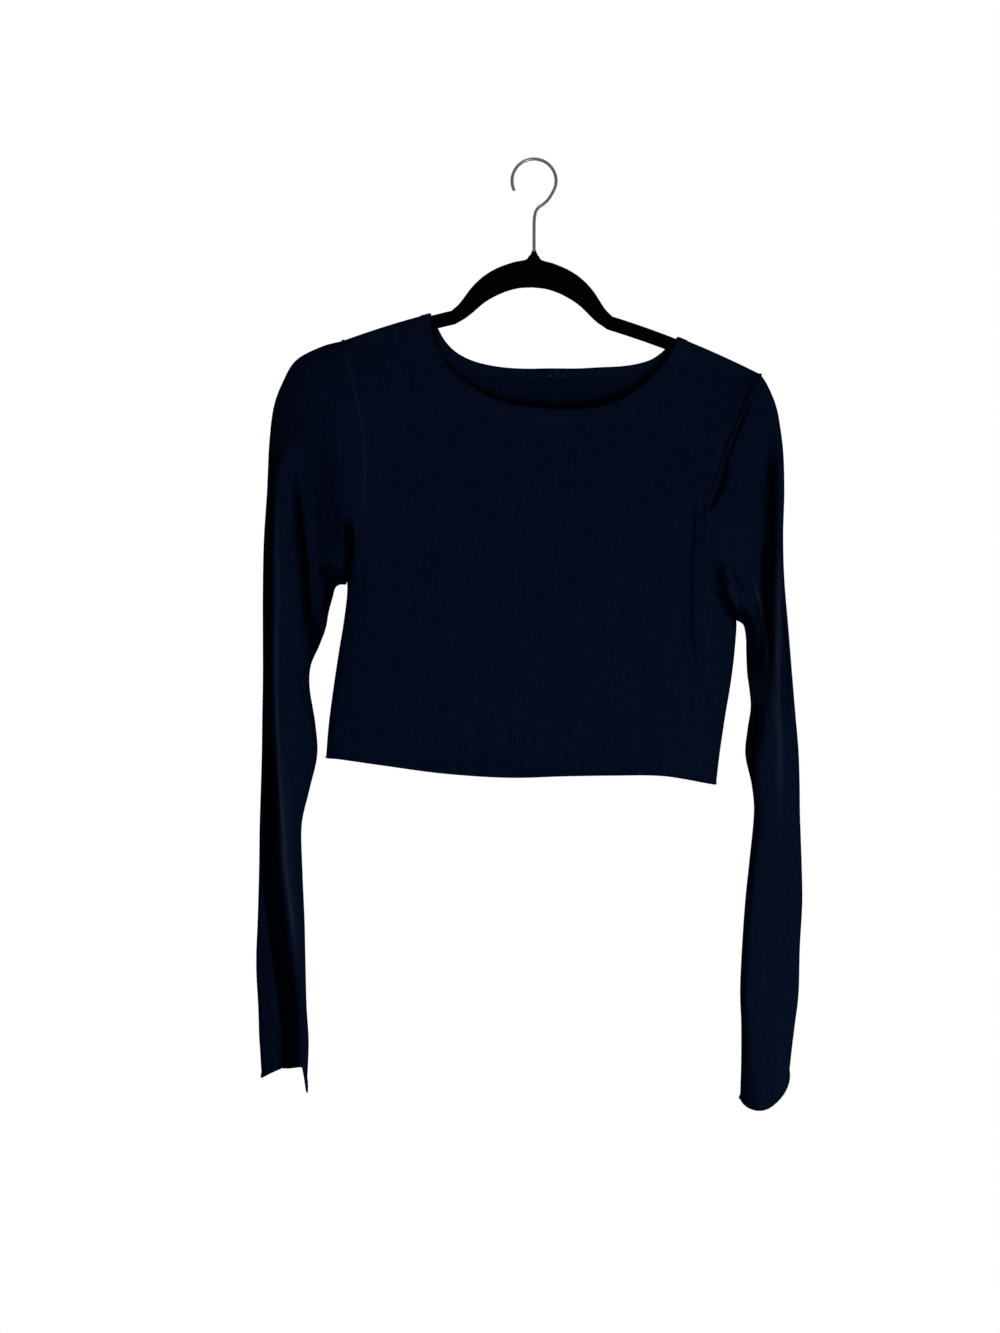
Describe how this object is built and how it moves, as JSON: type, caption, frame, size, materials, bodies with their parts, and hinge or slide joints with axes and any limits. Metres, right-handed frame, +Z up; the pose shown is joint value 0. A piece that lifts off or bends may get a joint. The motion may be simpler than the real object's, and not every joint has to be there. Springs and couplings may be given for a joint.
{
  "type": "long-sleeved crop top on a clothes hanger",
  "caption": "Long-sleeved rib-knit crop top with a wide scoop neck, hung on a slim flocked hanger with a wire hook.",
  "frame": {"origin": "the inner top of the hook's bend, where a rail carries the hanger", "axes": "+Z up, +X towards the wearer's left sleeve, which is on the right as seen from the front, and the front faces -Y"},
  "size_m": [0.5118, 0.0602, 0.8918],
  "materials": {
    "navy_rib_knit": "fine rib knit, matt",
    "black_flock": "short flock on plastic",
    "steel_wire": "polished wire"
  },
  "bodies": {
    "root": {"front": "navy_rib_knit", "back": "navy_rib_knit", "hem_rib_front": "navy_rib_knit", "hem_rib_back": "navy_rib_knit", "neckband": "navy_rib_knit", "left_sleeve": "navy_rib_knit", "right_sleeve": "navy_rib_knit", "hanger_body": "black_flock", "hanger_hook": "steel_wire"}
  },
  "joints": []
}
